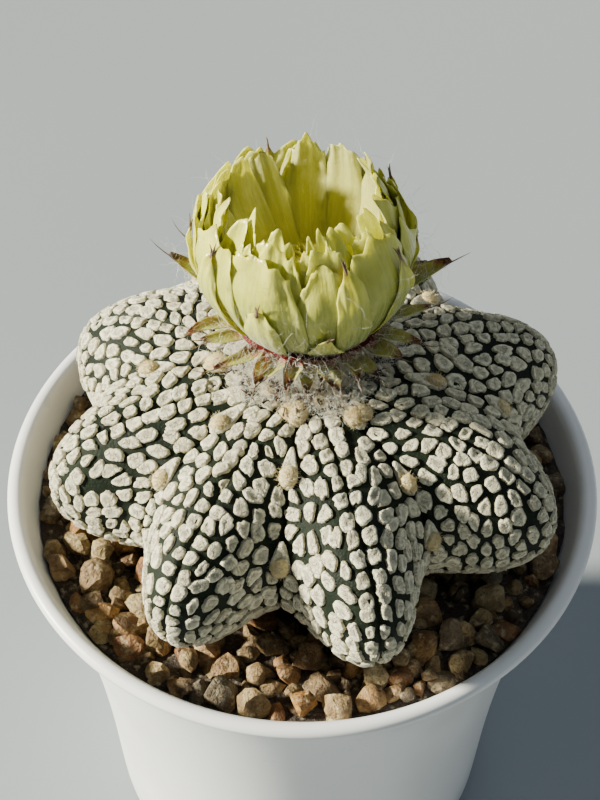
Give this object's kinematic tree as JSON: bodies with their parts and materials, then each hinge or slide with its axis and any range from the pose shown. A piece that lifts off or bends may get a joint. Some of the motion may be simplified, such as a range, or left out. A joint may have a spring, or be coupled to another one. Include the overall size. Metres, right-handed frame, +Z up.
{
  "type": "potted star cactus",
  "caption": "Star cactus with broad rounded arms, white flecks and a pale yellow flower, in gravel in a plain round white plastic pot; it stands freely on a table or shelf",
  "frame": {"origin": "centre of the pot's bottom, on the surface that the pot stands on", "axes": "+Z is up, +X is to the picture's right, +Y points away from the picture's camera"},
  "size_m": [0.0898, 0.09, 0.1412],
  "materials": {
    "white_plastic": "smooth, slightly glossy white",
    "potting_mix": "dark, crumbly mineral mix",
    "gravel": "matt tan, brown and grey grit",
    "cactus_skin": "dark green skin covered with raised cream-white felt flecks",
    "wool": "loose cream-white plant wool",
    "flower_scales": "dull olive-green scales with brown tips",
    "petals": "satin pale yellow-green",
    "stamens": "matt golden yellow"
  },
  "bodies": {
    "root": {"pot": "white_plastic", "potting_mix": "potting_mix", "gravel": "gravel", "cactus_body": "cactus_skin", "crown_wool": "wool", "flower_tube": "flower_scales", "flower_petals": "petals", "stamens": "stamens", "pistil": "stamens"}
  },
  "joints": []
}
